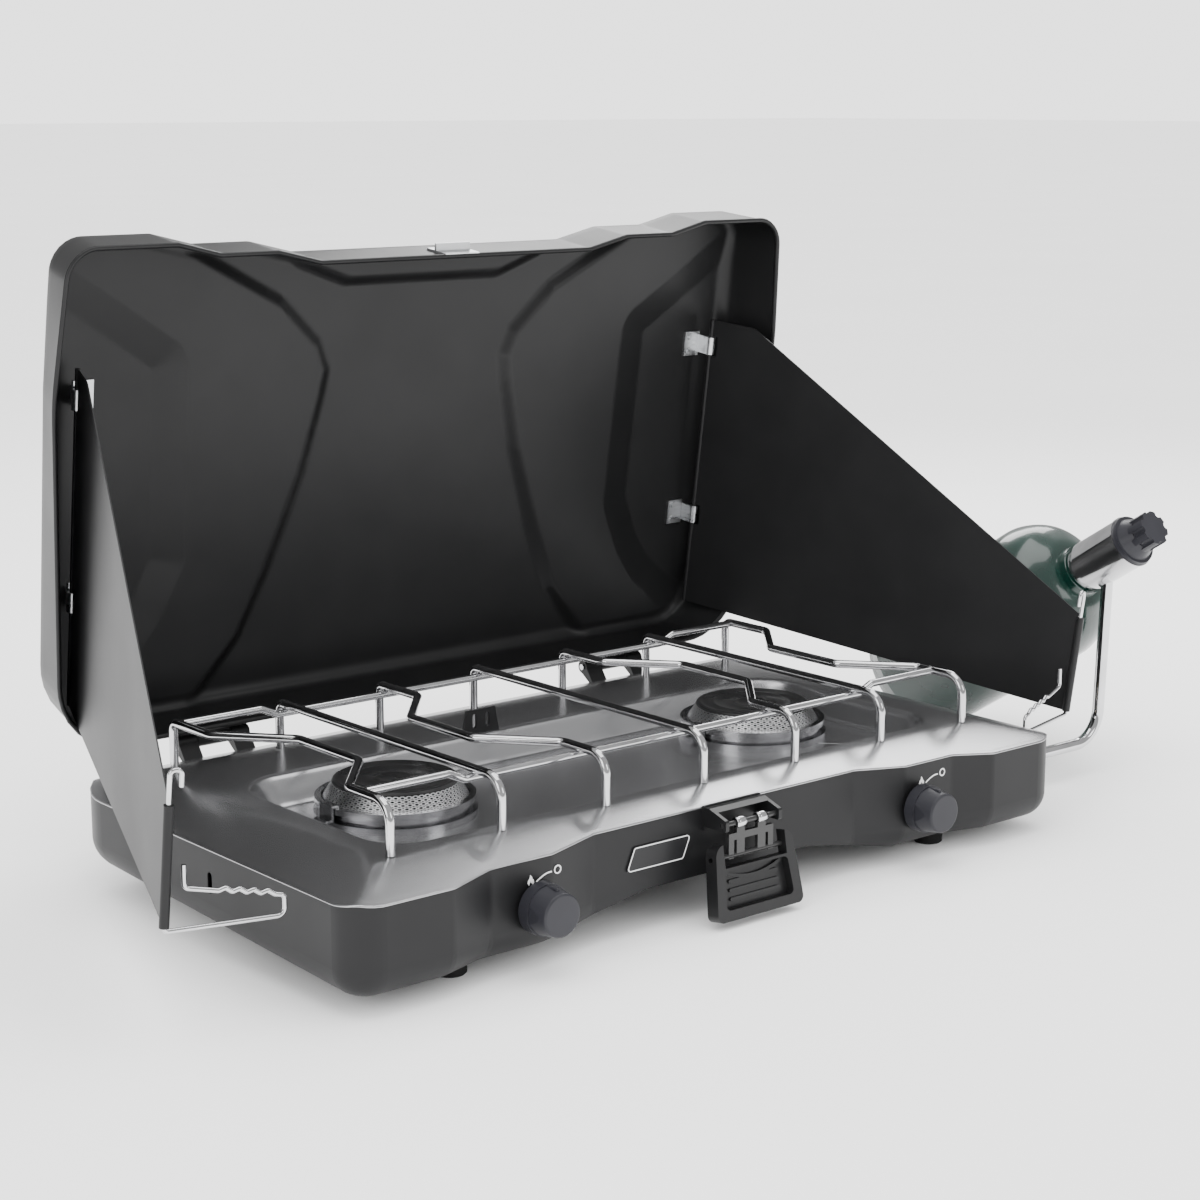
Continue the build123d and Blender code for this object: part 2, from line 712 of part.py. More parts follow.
for side, sign in SIDES.items():
    middle = sign * HINGE_X
    outer_knuckles = [
        (middle - LEAF_HALF, middle - KNUCKLE_HALF - 0.5),
        (middle + KNUCKLE_HALF + 0.5, middle + LEAF_HALF),
    ]

    with BuildPart() as base_hinge:
        with BuildSketch(Plane.YZ.offset(middle - LEAF_HALF)):
            with Locations((CASE_REAR + 0.8, 48)):
                Rectangle(1.6, 20)
        extrude(amount=2 * LEAF_HALF)
        for start, end in outer_knuckles:
            with BuildSketch(Plane.YZ.offset(start)):
                with BuildLine():
                    Polyline((155.1, 57), (156.6, 57), (169.5, 66), (163.5, 71), (155.1, 59), close=True)
                make_face()
                with Locations((HINGE_Y, HINGE_Z)):
                    Circle(KNUCKLE_R)
            extrude(amount=end - start)
        with BuildSketch(Plane.YZ.offset(middle - 40)):
            with Locations((HINGE_Y, HINGE_Z)):
                Circle(HINGE_PIN_R + 0.02)
        extrude(amount=80, mode=Mode.SUBTRACT)
    finish(base_hinge, f"base_hinge_{side}")

    with BuildPart() as lid_hinge:
        with BuildSketch(LID_PLANE.offset(-20)):
            with Locations((middle, LID_REAR_V - 0.8)):
                Rectangle(2 * LEAF_HALF, 1.6)
        extrude(amount=24)
        with BuildSketch(LID_PLANE.offset(-2)):
            with Locations((middle, LID_REAR_V / 2)):
                Rectangle(2 * KNUCKLE_HALF, LID_REAR_V)
        extrude(amount=4)
        add(
            round_bar(
                (middle - KNUCKLE_HALF, HINGE_Y, HINGE_Z),
                (middle + KNUCKLE_HALF, HINGE_Y, HINGE_Z),
                KNUCKLE_R,
            )
        )
        with BuildSketch(Plane.YZ.offset(middle - 40)):
            with Locations((HINGE_Y, HINGE_Z)):
                Circle(HINGE_PIN_R + 0.05)
        extrude(amount=80, mode=Mode.SUBTRACT)
    finish(lid_hinge, f"lid_hinge_{side}")

with BuildPart() as hinge_pins:
    for sign in SIDES.values():
        start = (sign * HINGE_X - LEAF_HALF - 1, HINGE_Y, HINGE_Z)
        end = (sign * HINGE_X + LEAF_HALF + 1, HINGE_Y, HINGE_Z)
        add(round_bar(start, end, HINGE_PIN_R))
finish(hinge_pins, "hinge_pins")

with BuildPart() as hinge_rivets:
    with BuildSketch(Plane.XZ.offset(-CASE_REAR - 1.6)):
        with Locations(*[(s * HINGE_X + x, 44) for s in (-1, 1) for x in (-17, 0, 17)]):
            Circle(3)
    extrude(amount=-1.4)
finish(hinge_rivets, "hinge_rivets")

# =============================== windscreens ===============================
def screen_plane(sign):
    """Plane of one windscreen: along it away from the lid, and up the lid."""
    flare = math.radians(SCREEN_FLARE)
    out = Vector(sign * math.sin(flare), 0, 0)
    along = Vector(0, -math.cos(lean), -math.sin(lean)) * math.cos(flare) + out
    up = Vector(0, -math.sin(lean), math.cos(lean))
    origin = lid_point(sign * SCREEN_HINGE_X, 0, SCREEN_HINGE_W)
    return Plane(origin=origin, x_dir=along, z_dir=along.cross(up))


for side, sign in SIDES.items():
    hinge_x = sign * SCREEN_HINGE_X

    with BuildPart() as windscreen_brackets:
        for v in BARREL_V:
            with BuildSketch(LID_PLANE.offset(LID_PANEL_W)):
                with Locations((sign * (SCREEN_HINGE_X - 9.2), v)):
                    Rectangle(13, 2 * BARREL_HALF + 5)
            extrude(amount=1.2)
            with BuildSketch(LID_PLANE.offset(LID_PANEL_W)):
                with Locations((sign * (SCREEN_HINGE_X - 2.35), v)):
                    Rectangle(1.3, 2 * BARREL_HALF)
            extrude(amount=SCREEN_HINGE_W - LID_PANEL_W)
            low = lid_point(hinge_x, v - BARREL_HALF, SCREEN_HINGE_W)
            high = lid_point(hinge_x, v + BARREL_HALF, SCREEN_HINGE_W)
            add(round_bar(low, high, BARREL_R))
            below = lid_point(hinge_x, v - 20, SCREEN_HINGE_W)
            above = lid_point(hinge_x, v + 20, SCREEN_HINGE_W)
            add(round_bar(below, above, SCREEN_ROD_R + 0.05), mode=Mode.SUBTRACT)
    finish(windscreen_brackets, f"windscreen_brackets_{side}")

    plane = screen_plane(sign)
    with BuildPart() as windscreen:
        with BuildSketch(plane):
            with BuildLine():
                FilletPolyline(
                    (0, SCREEN_ROD_LOW_V),
                    (0, SCREEN_TOP_V),
                    (SCREEN_TOP_LENGTH, SCREEN_TOP_V),
                    (SCREEN_LENGTH, SCREEN_END_V),
                    (SCREEN_LENGTH, SCREEN_LOW_V),
                    radius=[1, 3, 14, 3, 3],
                    close=True,
                )
            make_face()
            for v in BARREL_V:
                with Locations((0, v)):
                    Rectangle(11, 2 * BARREL_HALF + 2, mode=Mode.SUBTRACT)
        extrude(amount=SCREEN_SHEET / 2, both=True)
        rod_low = plane.from_local_coords(Vector(0, SCREEN_ROD_LOW_V, 0))
        rod_high = plane.from_local_coords(Vector(0, SCREEN_TOP_V, 0))
        add(round_bar(rod_low, rod_high, SCREEN_ROD_R))
        hem_low = plane.from_local_coords(Vector(SCREEN_LENGTH, SCREEN_LOW_V, 0))
        hem_high = plane.from_local_coords(Vector(SCREEN_LENGTH, SCREEN_END_V - 2, 0))
        add(round_bar(hem_low, hem_high, HEM_R))
        bore_low = plane.from_local_coords(Vector(SCREEN_LENGTH, 0, 0))
        bore_high = plane.from_local_coords(Vector(SCREEN_LENGTH, 120, 0))
        add(round_bar(bore_low, bore_high, PROP_R + 0.08), mode=Mode.SUBTRACT)
    finish(windscreen, f"windscreen_{side}")

    # the wire turns in the hem; its foot swings in under the screen to meet the case
    swing = math.radians(PROP_SWING)
    toward = Vector(-sign * math.cos(swing), -math.sin(swing), 0)
    hook_top = plane.from_local_coords(Vector(SCREEN_LENGTH, HOOK_V, 0))
    hook = [hook_top + toward * 6 - plane.y_dir * 9, hook_top + toward * 6, hook_top]
    heel = plane.from_local_coords(Vector(SCREEN_LENGTH, PROP_LOW_V, 0))
    step_out = heel + toward * PROP_REACH
    step_up = step_out + Vector(0, 0, 10.5)
    crimps = []
    for count in range(9):
        reach = PROP_REACH - 5 - CRIMP_PITCH * count
        lift = CRIMP_LIFT if count % 2 else -CRIMP_LIFT
        crimps.append(heel + toward * reach + Vector(0, 0, 11.5 + 0.2 * (PROP_REACH - reach) + lift))
    back = heel + toward * 11 + Vector(0, 0, 21)
    tip = back + Vector(0, 0, 12)
    route = hook + [heel, step_out, step_up] + crimps + [back, tip]
    bends = [2.9, 2.9, 2.2, 4, 2.6] + [1.6] * len(crimps) + [3]
    with BuildPart() as prop_wire:
        add(rod([tuple(point) for point in route], bends, PROP_R))
    finish(prop_wire, f"prop_wire_{side}")

with BuildPart() as bracket_rivets:
    with BuildSketch(LID_PLANE.offset(LID_PANEL_W + 1.2)):
        for sign in SIDES.values():
            with Locations(*[(sign * (SCREEN_HINGE_X - 11), v + dv) for v in BARREL_V for dv in (-5, 5)]):
                Circle(2.2)
    extrude(amount=1)
finish(bracket_rivets, "bracket_rivets")

# =============================== regulator arm and gas cylinder ===============================
tilt = math.radians(ARM_TILT)
rise = math.radians(GAS_AXIS_RISE)
ARM_FOOT = Vector(ARM_X, INLET_Y, INLET_Z)
ARM_UP = Vector(0, -math.sin(tilt), math.cos(tilt))
ARM_TOP = ARM_FOOT + ARM_UP * ARM_HEIGHT
GAS_AXIS = Vector(0, -math.cos(rise), math.sin(rise))


def gas_plane(t):
    """Plane square to the gas axis, t from where the arm meets it."""
    return Plane(origin=ARM_TOP + GAS_AXIS * t, x_dir=(1, 0, 0), z_dir=GAS_AXIS)


GAS_SIDE = Plane(origin=ARM_TOP, x_dir=GAS_AXIS, z_dir=(1, 0, 0))

with BuildPart() as regulator_tube:
    tube_end = ARM_FOOT + ARM_UP * (ARM_HEIGHT - 13)
    route = [(TUBE_START_X, INLET_Y, INLET_Z), tuple(ARM_FOOT), tuple(tube_end)]
    add(rod(route, 22, TUBE_R))
finish(regulator_tube, "regulator_tube")

with BuildPart() as inlet_nut:
    with BuildSketch(Plane.YZ.offset(INLET_FACE + 0.4)):
        with Locations((INLET_Y, INLET_Z)):
            RegularPolygon(9, 6)
            Circle(TUBE_R + 0.02, mode=Mode.SUBTRACT)
    extrude(amount=10)
    chamfer(inlet_nut.edges().group_by(Axis.X)[-1].sort_by(SortBy.LENGTH)[:6], 1)
finish(inlet_nut, "inlet_nut")

with BuildPart() as regulator_body:
    with BuildSketch(GAS_SIDE):
        with BuildLine():
            Polyline(
                (-24, GAS_NECK_R + 0.05),
                (-24, 15.5),
                (-19, 15.5),
                (-18, 17.5),
                (19.7, 17.5),
                (19.7, 0),
                (SOCKET_T, 0),
                (SOCKET_T, GAS_NECK_R + 0.05),
                close=True,
            )
        make_face()
    revolve(axis=Axis(ARM_TOP, GAS_AXIS))
    add(round_bar(ARM_FOOT, ARM_FOOT + ARM_UP * (ARM_HEIGHT - 13), TUBE_R + 0.02), mode=Mode.SUBTRACT)
finish(regulator_body, "regulator_body")

with BuildPart() as regulator_ring:
    with BuildSketch(gas_plane(19.7)):
        Circle(18)
    extrude(amount=1.3)
finish(regulator_ring, "regulator_ring")

with BuildPart() as regulator_cap:
    with BuildSketch(gas_plane(21)):
        Circle(17)
    extrude(amount=3)
    with BuildSketch(gas_plane(24)):
        Circle(15)
    extrude(amount=9, taper=25)
    with BuildSketch(gas_plane(28)):
        Circle(12)
        with PolarLocations(12.6, 8):
            Circle(2.6, mode=Mode.SUBTRACT)
    extrude(amount=15.3)
finish(regulator_cap, "regulator_cap")

with BuildPart() as cylinder_body:
    with BuildSketch(GAS_SIDE):
        with BuildLine():
            Polyline((-33, 18), (-33, 12.9), (-25, 12.9), (-25, 17.5), (-30, 18.5))
            Spline(
                (-30, 18.5),
                (-34.5, 30),
                (-43, 41),
                (-57, 48),
                (-70, CYLINDER_R),
                tangents=[(-0.05, 1), (-1, 0)],
            )
            Polyline(
                (-70, CYLINDER_R),
                (CYLINDER_BASE_T + 12, CYLINDER_R),
                (CYLINDER_BASE_T + 4, CYLINDER_R - 3),
                (CYLINDER_BASE_T + 4, 0),
                (CYLINDER_BASE_T + 5.2, 0),
                (CYLINDER_BASE_T + 5.2, CYLINDER_R - 4),
                (CYLINDER_BASE_T + 12, CYLINDER_R - 1.2),
                (-70, CYLINDER_R - 1.2),
            )
            Spline(
                (-70, CYLINDER_R - 1.2),
                (-57.5, 46.8),
                (-44, 40),
                (-36.2, 29),
                (-33, 18),
                tangents=[(1, 0), (0.05, -1)],
            )
        make_face()
    revolve(axis=Axis(ARM_TOP, GAS_AXIS))
finish(cylinder_body, "cylinder_body")

with BuildPart() as cylinder_valve:
    with BuildSketch(gas_plane(-34)):
        Circle(12.85)
    extrude(amount=9)
    with BuildSketch(gas_plane(-25)):
        Circle(GAS_NECK_R)
    extrude(amount=SOCKET_T - 0.5 + 25)
    fillet(cylinder_valve.faces().sort_by(Axis.Z)[-1].edges(), 1)
finish(cylinder_valve, "cylinder_valve")

with BuildPart() as cylinder_base_ring:
    with BuildSketch(GAS_SIDE):
        with BuildLine():
            Polyline(
                (CYLINDER_BASE_T + 4, CYLINDER_R - 3),
                (CYLINDER_BASE_T, CYLINDER_R - 4),
                (CYLINDER_BASE_T, CYLINDER_R - 6),
                (CYLINDER_BASE_T + 4, CYLINDER_R - 6),
                close=True,
            )
        make_face()
    revolve(axis=Axis(ARM_TOP, GAS_AXIS))
finish(cylinder_base_ring, "cylinder_base_ring")

# =============================== cooking grate ===============================
GRATE_Z = GRATE_TOP_Z - WIRE_R
RAIL_DROP = WIRE_R + RAIL_R

for number in range(7):
    place = number - 3
    x = place * WIRE_PITCH
    # every other wire steps sideways past a burner, and the outermost step inwards
    jog = {-3: JOG, 3: -JOG, -1: -JOG, 1: JOG}.get(place, 0)
    front = [(x, GRATE_FRONT, COOKTOP_Z), (x, GRATE_FRONT, GRATE_Z)]
    rear = [(x, GRATE_REAR, GRATE_Z), (x, GRATE_REAR, COOKTOP_Z)]
    middle = []
    if jog:
        middle = [(x, -70, GRATE_Z), (x + jog, -30, GRATE_Z), (x + jog, 30, GRATE_Z), (x, 70, GRATE_Z)]
    with BuildPart() as grate_wire:
        add(rod(front + middle + rear, [12] + [8] * len(middle) + [5], WIRE_R))
    finish(grate_wire, f"grate_wire_{number + 1}")

RAIL_END = 3 * WIRE_PITCH - WIRE_R
for name, y in (("front", -82), ("rear", 104)):
    half = [(RAIL_END, y, GRATE_Z), (162, y, GRATE_Z), (151, y, GRATE_Z - RAIL_DROP)]
    with BuildPart() as grate_rail:
        add(rod([(-px, py, pz) for px, py, pz in half] + half[::-1], 4, RAIL_R))
    finish(grate_rail, f"grate_rail_{name}")
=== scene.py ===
import json
import math

import bpy
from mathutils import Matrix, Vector


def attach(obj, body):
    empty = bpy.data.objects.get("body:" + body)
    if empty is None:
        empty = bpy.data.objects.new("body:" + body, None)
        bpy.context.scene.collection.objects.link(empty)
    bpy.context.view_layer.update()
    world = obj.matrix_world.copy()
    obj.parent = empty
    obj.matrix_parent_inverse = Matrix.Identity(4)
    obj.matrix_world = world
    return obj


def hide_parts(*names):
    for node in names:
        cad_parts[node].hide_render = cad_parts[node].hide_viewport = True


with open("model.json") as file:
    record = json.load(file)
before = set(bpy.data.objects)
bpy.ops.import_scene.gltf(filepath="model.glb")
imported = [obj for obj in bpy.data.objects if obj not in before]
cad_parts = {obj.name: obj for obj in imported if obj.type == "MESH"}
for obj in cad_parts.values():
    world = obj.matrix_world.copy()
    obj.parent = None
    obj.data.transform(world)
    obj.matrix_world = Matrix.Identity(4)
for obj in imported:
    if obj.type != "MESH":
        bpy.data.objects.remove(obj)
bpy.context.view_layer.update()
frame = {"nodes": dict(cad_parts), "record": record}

# Two-burner camp stove. Metres, in the CAD model's frame: +X right, +Y back, +Z up.

# ---- where things are, taken from the frame ----
JOINTS = {joint["name"]: joint for joint in frame["record"]["behaviour"]["joints"]}
HINGE = Vector(JOINTS["lid_hinge"]["pos_m"])
LID_UP = Vector(JOINTS["windscreen_left_hinge"]["axis"]).normalized()
LID_OUT = Vector((1, 0, 0)).cross(LID_UP).normalized()
MM = 0.001
HANDLE_LEAN = math.radians(10)

# ---- camera ----
CAMERA_PLACE = Vector((-0.9125, -1.1096, 0.4526))
CAMERA_AZIMUTH = 39.81
CAMERA_DROP = 11.54
CAMERA_LENS = 73.76
SENSOR_WIDTH = 36

# ---- studio: how bright the white surround is, and how much of it shows in reflections ----
STUDIO_BRIGHT = 2.5
STUDIO_IN_GLOSS = 0.55
LAMPS = [  # name, place, aimed at, width and depth, watts
    ("overhead", (0.0, -0.1, 1.6), (0, 0, 0.1), (1.8, 1.0), 16),
    ("left_key", (-1.9, -0.5, 0.9), (0, 0, 0.15), (0.9, 1.1), 10),
    ("back_right", (1.12, 0.88, 1.05), (0, 0, 0.1), (1.1, 0.6), 14),
    ("front_fill", (0.7, -2.0, 1.0), (0, 0, 0.1), (0.8, 0.8), 6),
]
FLOOR_HALF = 40.0

# ---- material detail: noise scales in cells to the metre, relief depths in metres ----
NOISE_LOW, NOISE_HIGH = 0.3, 0.7
PAINT_MOTTLE, PAINT_GLOSS, PAINT_RELIEF = 26, 9, 0.0002
METAL_RELIEF_FINER, METAL_RELIEF = 12, 0.0001
ENAMEL_COAT, ENAMEL_COAT_ROUGHNESS = 0.8, 0.06
ENAMEL_MOTTLE, ENAMEL_GLOSS, ENAMEL_PEEL = 40, 15, 600
ENAMEL_ROUGHNESS = (0.24, 0.34)
ENAMEL_RELIEF_STRENGTH = 0.04


# =============================== materials ===============================
def shader(name, metallic=0.0, roughness=0.5):
    """A new material, with its node tree, its shader and its object coordinates."""
    material = bpy.data.materials.new(name)
    material.use_nodes = True
    tree = material.node_tree
    surface = tree.nodes["Principled BSDF"]
    surface.inputs["Metallic"].default_value = metallic
    surface.inputs["Roughness"].default_value = roughness
    place = tree.nodes.new("ShaderNodeTexCoord")
    return material, tree, surface, place.outputs["Object"]


def noise(tree, place, scale, detail=3.0):
    """Noise over the surface; scale is in cells to the metre."""
    node = tree.nodes.new("ShaderNodeTexNoise")
    node.inputs["Scale"].default_value = scale
    node.inputs["Detail"].default_value = detail
    tree.links.new(place, node.inputs["Vector"])
    return node.outputs["Fac"]


def ramp(tree, value, low, high):
    """Turns noise into a run from one colour to another."""
    node = tree.nodes.new("ShaderNodeValToRGB")
    node.color_ramp.elements[0].position = NOISE_LOW
    node.color_ramp.elements[1].position = NOISE_HIGH
    node.color_ramp.elements[0].color = (*low, 1)
    node.color_ramp.elements[1].color = (*high, 1)
    tree.links.new(value, node.inputs["Fac"])
    return node.outputs["Color"]


def spread(tree, value, low, high):
    """Turns noise into a run between two numbers."""
    node = tree.nodes.new("ShaderNodeMapRange")
    node.inputs["From Min"].default_value = NOISE_LOW
    node.inputs["From Max"].default_value = NOISE_HIGH
    node.inputs["To Min"].default_value = low
    node.inputs["To Max"].default_value = high
    tree.links.new(value, node.inputs["Value"])
    return node.outputs["Result"]


def grain(tree, surface, value, strength, depth):
    """Fine relief on the surface."""
    node = tree.nodes.new("ShaderNodeBump")
    node.inputs["Strength"].default_value = strength
    node.inputs["Distance"].default_value = depth
    tree.links.new(value, node.inputs["Height"])
    tree.links.new(node.outputs["Normal"], surface.inputs["Normal"])


def painted(name, dark, light, rough_low, rough_high, speck=1400, strength=0.12, specular=0.5):
    """Paint or powder coat: a faint mottle, patchy gloss and fine orange peel."""
    material, tree, surface, place = shader(name)
    surface.inputs["Specular IOR Level"].default_value = specular
    mottle = noise(tree, place, PAINT_MOTTLE)
    tree.links.new(ramp(tree, mottle, dark, light), surface.inputs["Base Color"])
    gloss = spread(tree, noise(tree, place, PAINT_GLOSS, 4), rough_low, rough_high)
    tree.links.new(gloss, surface.inputs["Roughness"])
    grain(tree, surface, noise(tree, place, speck, 2), strength, PAINT_RELIEF)
    return material


def metal(name, dark, light, rough_low, rough_high, strength=0.03, along=None, scale=60, pure=1.0):
    """Bare or plated metal; with along, brushed in that direction."""
    material, tree, surface, place = shader(name, metallic=pure)
    if along:
        stretch = tree.nodes.new("ShaderNodeMapping")
        stretch.inputs["Scale"].default_value = along
        tree.links.new(place, stretch.inputs["Vector"])
        place = stretch.outputs["Vector"]
    mottle = noise(tree, place, scale, 5)
    tree.links.new(ramp(tree, mottle, dark, light), surface.inputs["Base Color"])
    tree.links.new(spread(tree, mottle, rough_low, rough_high), surface.inputs["Roughness"])
    if strength:
        relief = noise(tree, place, scale * METAL_RELIEF_FINER, 3)
        grain(tree, surface, relief, strength, METAL_RELIEF)
    return material


def enamel(name, dark, light):
    """Glossy sprayed enamel under a clear coat."""
    material, tree, surface, place = shader(name)
    surface.inputs["Coat Weight"].default_value = ENAMEL_COAT
    surface.inputs["Coat Roughness"].default_value = ENAMEL_COAT_ROUGHNESS
    mottle = noise(tree, place, ENAMEL_MOTTLE)
    tree.links.new(ramp(tree, mottle, dark, light), surface.inputs["Base Color"])
    gloss = spread(tree, noise(tree, place, ENAMEL_GLOSS), *ENAMEL_ROUGHNESS)
    tree.links.new(gloss, surface.inputs["Roughness"])
    peel = noise(tree, place, ENAMEL_PEEL, 2)
    grain(tree, surface, peel, ENAMEL_RELIEF_STRENGTH, PAINT_RELIEF)
    return material


PAINT = {
    "case": painted("case_paint", (0.007, 0.007, 0.0077), (0.009, 0.009, 0.0098), 0.38, 0.46,
                    specular=0.28),
    "lid": painted("lid_paint", (0.006, 0.006, 0.0064), (0.008, 0.008, 0.0084), 0.34, 0.42,
                   specular=0.32),
    "screen": painted("screen_paint", (0.0065, 0.0065, 0.007), (0.009, 0.009, 0.0095), 0.38, 0.46,
                      specular=0.3),
    "latch": painted("latch_plastic", (0.006, 0.006, 0.0065), (0.009, 0.009, 0.0095), 0.28, 0.38, 900,
                     specular=0.35),
    "knob": painted("knob_plastic", (0.016, 0.016, 0.020), (0.022, 0.022, 0.027), 0.34, 0.44, 1100,
                    specular=0.3),
    "rubber": painted("foot_rubber", (0.008, 0.008, 0.008), (0.013, 0.013, 0.013), 0.7, 0.85, 500, 0.3,
                      0.2),
    "badge": painted("badge_paint", (0.010, 0.010, 0.011), (0.014, 0.014, 0.0155), 0.3, 0.38,
                     specular=0.3),
    "print": painted("white_print", (0.72, 0.72, 0.72), (0.8, 0.8, 0.8), 0.4, 0.5),
    "grey": painted("base_plastic", (0.26, 0.27, 0.27), (0.33, 0.34, 0.34), 0.4, 0.5),
    "burner_black": painted("burner_black", (0.008, 0.008, 0.0085), (0.02, 0.02, 0.02), 0.22, 0.4, 700,
                            specular=0.6),
}
CHROME = metal("chrome", (0.60, 0.60, 0.61), (0.72, 0.72, 0.73), 0.07, 0.13)
COOKTOP = metal("cooktop_steel", (0.42, 0.42, 0.43), (0.46, 0.46, 0.47), 0.24, 0.27, 0, scale=5,
                pure=0.94)
BURNER = metal("burner_plate", (0.36, 0.36, 0.37), (0.54, 0.54, 0.55), 0.14, 0.24)
MESH = metal("burner_mesh", (0.74, 0.74, 0.75), (0.86, 0.86, 0.87), 0.30, 0.40)
STEEL = metal("zinc_steel", (0.55, 0.56, 0.57), (0.68, 0.69, 0.70), 0.26, 0.36, along=(1, 1, 8))
BRASS = metal("brass", (0.60, 0.42, 0.18), (0.72, 0.52, 0.25), 0.25, 0.38)
GREEN = enamel("gas_green", (0.0015, 0.017, 0.012), (0.002, 0.024, 0.017))


def paint(material, *nodes):
    """Gives CAD nodes a material."""
    for node in nodes:
        data = frame["nodes"][node].data
        data.materials.clear()
        data.materials.append(material)


SOFT_EDGE = 0.4 * MM
SOFT_ANGLE = math.radians(38)


def soften(*nodes):
    """Rounds the edges of moulded CAD nodes a little."""
    for node in nodes:
        bevel = frame["nodes"][node].modifiers.new("edge", "BEVEL")
        bevel.width = SOFT_EDGE
        bevel.segments = 2
        bevel.limit_method = "ANGLE"
        bevel.angle_limit = SOFT_ANGLE


def both(name):
    """The left and right nodes of a pair."""
    return [f"{name}_left", f"{name}_right"]


# =============================== mesh helpers ===============================
def piece(name, points, faces, material, body, stands_for=(), smooth=True):
    """A new mesh piece that rides on a body."""
    data = bpy.data.meshes.new(name)
    data.from_pydata([tuple(point) for point in points], [], faces)
    data.validate()
    data.update()
    if smooth:
        data.polygons.foreach_set("use_smooth", [True] * len(data.polygons))
    data.materials.append(material)
    thing = bpy.data.objects.new(name, data)
    bpy.context.scene.collection.objects.link(thing)
    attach(thing, body)
    if stands_for:
        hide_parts(*stands_for)
    return thing


def thicken(thing, thickness):
    """Gives a sheet its thickness, behind its faces."""
    modifier = thing.modifiers.new("sheet", "SOLIDIFY")
    modifier.thickness = thickness
    modifier.offset = -1
    modifier.use_even_offset = False
    modifier.use_rim = False


def rounded(corners, radii, steps=8):
    """A closed outline with an arc at each corner."""
    outline = []
    for index, corner in enumerate(corners):
        here = Vector(corner)
        back = (Vector(corners[index - 1]) - here).normalized()
        on = (Vector(corners[(index + 1) % len(corners)]) - here).normalized()
        half = back.angle(on) / 2
        radius = radii[index]
        centre = here + (back + on).normalized() * radius / math.sin(half)
        start = here + back * radius / math.tan(half) - centre
        end = here + on * radius / math.tan(half) - centre
        for step in range(steps + 1):
            outline.append(centre + start.lerp(end, step / steps).normalized() * radius)
    return outline


def finer(outlines, reach):
    """Puts the same number of points between the corners of matching outlines."""
    guide = outlines[0]
    result = [[] for outline in outlines]
    for index, here in enumerate(guide):
        gap = (guide[(index + 1) % len(guide)] - here).length
        count = max(1, round(gap / reach))
        for outline, made in zip(outlines, result):
            after = outline[(index + 1) % len(outline)]
            made.extend(outline[index].lerp(after, step / count) for step in range(count))
    return result


def inward(outline):
    """For each point of an outline that runs anticlockwise, the direction that points into it."""
    normals = []
    for index in range(len(outline)):
        run = outline[(index + 1) % len(outline)] - outline[index - 1]
        normals.append(Vector((-run.y, run.x)).normalized())
    return normals


def bridge(loops, close=True):
    """Points and faces of a skin over a row of loops with the same number of points."""
    count = len(loops[0])
    points = [point for loop in loops for point in loop]
    faces = []
    for row in range(len(loops) - 1):
        for index in range(count if close else count - 1):
            after = (index + 1) % count
            low = row * count
            faces.append((low + index, low + after, low + count + after, low + count + index))
    return points, faces


def clamp(value):
    """A number kept between 0 and 1."""
    return min(1.0, max(0.0, value))


def ease(value):
    """A smooth step from 0 to 1."""
    value = clamp(value)
    return value * value * (3 - 2 * value)


def distance(point, line):
    """How far a point is from a line of straight runs."""
    best = 9.0
    for start, end in zip(line, line[1:]):
        run = end - start
        share = clamp((point - start).dot(run) / run.length_squared)
        best = min(best, (start + run * share - point).length)
    return best


def across(line, v):
    """Where a line that climbs crosses a height."""
    for start, end in zip(line, line[1:]):
        if start.y <= v <= end.y:
            return start.x + (end.x - start.x) * (v - start.y) / (end.y - start.y)
    return line[0].x if v < line[0].y else line[-1].x


# =============================== lid ===============================
LID_RIM = 8.5 * MM
LID_PANEL = -33.5 * MM
LID_FILLET = 8 * MM
LID_SHEET = 1.0 * MM
LOBE = 4.2 * MM
LEDGE = 5.5 * MM
RIB_SLOPE = 7 * MM
PAD_SLOPE = 22 * MM
LEDGE_SLOPE = 6 * MM
LID_WALL = (8.5, 4, -4, -12, -20)  # heights of the loops down the lid's side wall, mm
LID_FILLET_TURNS = 7
LID_RINGS = 78
LID_REACH = 2.4 * MM
LID_CORE_HALF, LID_CORE_UP = 0.118, 0.152
LID_RIM_HALVES = (266.5, 276, 268.5)  # half widths low, middle and top, mm
LID_BACK_HALVES = (261, 262.5, 261)
LID_LOW, LID_WIDEST, LID_TOP = 9, 222, 307.5
LID_CORNERS = [45, 200, 20, 10, 10, 10, 10]
BEAD_RADIUS, BEAD_SINK = 1.5 * MM, 1.2 * MM
BEAD_TURNS = 8
TOP_STEPS = [(200, LID_TOP), (172, 300.5), (133, 300.5), (103, 293.3)]
RIB = [(160, 8), (148, 22), (125, 50), (106, 92), (84, 152), (72, 200), (69, 217), (76, 234),
       (105, 262), (156, 289), (176, 300), (190, 309)]
PAD = [(262, 30), (240, 40), (214, 62), (201, 80), (188, 108), (190, 225), (240, 258), (275, 281)]
RIB_LINE = [Vector(point) * MM for point in RIB]
PAD_LINE = [Vector(point) * MM for point in PAD]
LEDGE_LINE = [Vector(point) * MM for point in ((110, 300), (93, 285), (69, 276), (58, 272), (0, 272))]


def lid_point(x, v, w):
    """A point across the lid (x), up it (v) and out of it (w) from the hinge axis."""
    return HINGE + Vector((x, 0, 0)) + LID_UP * v + LID_OUT * w


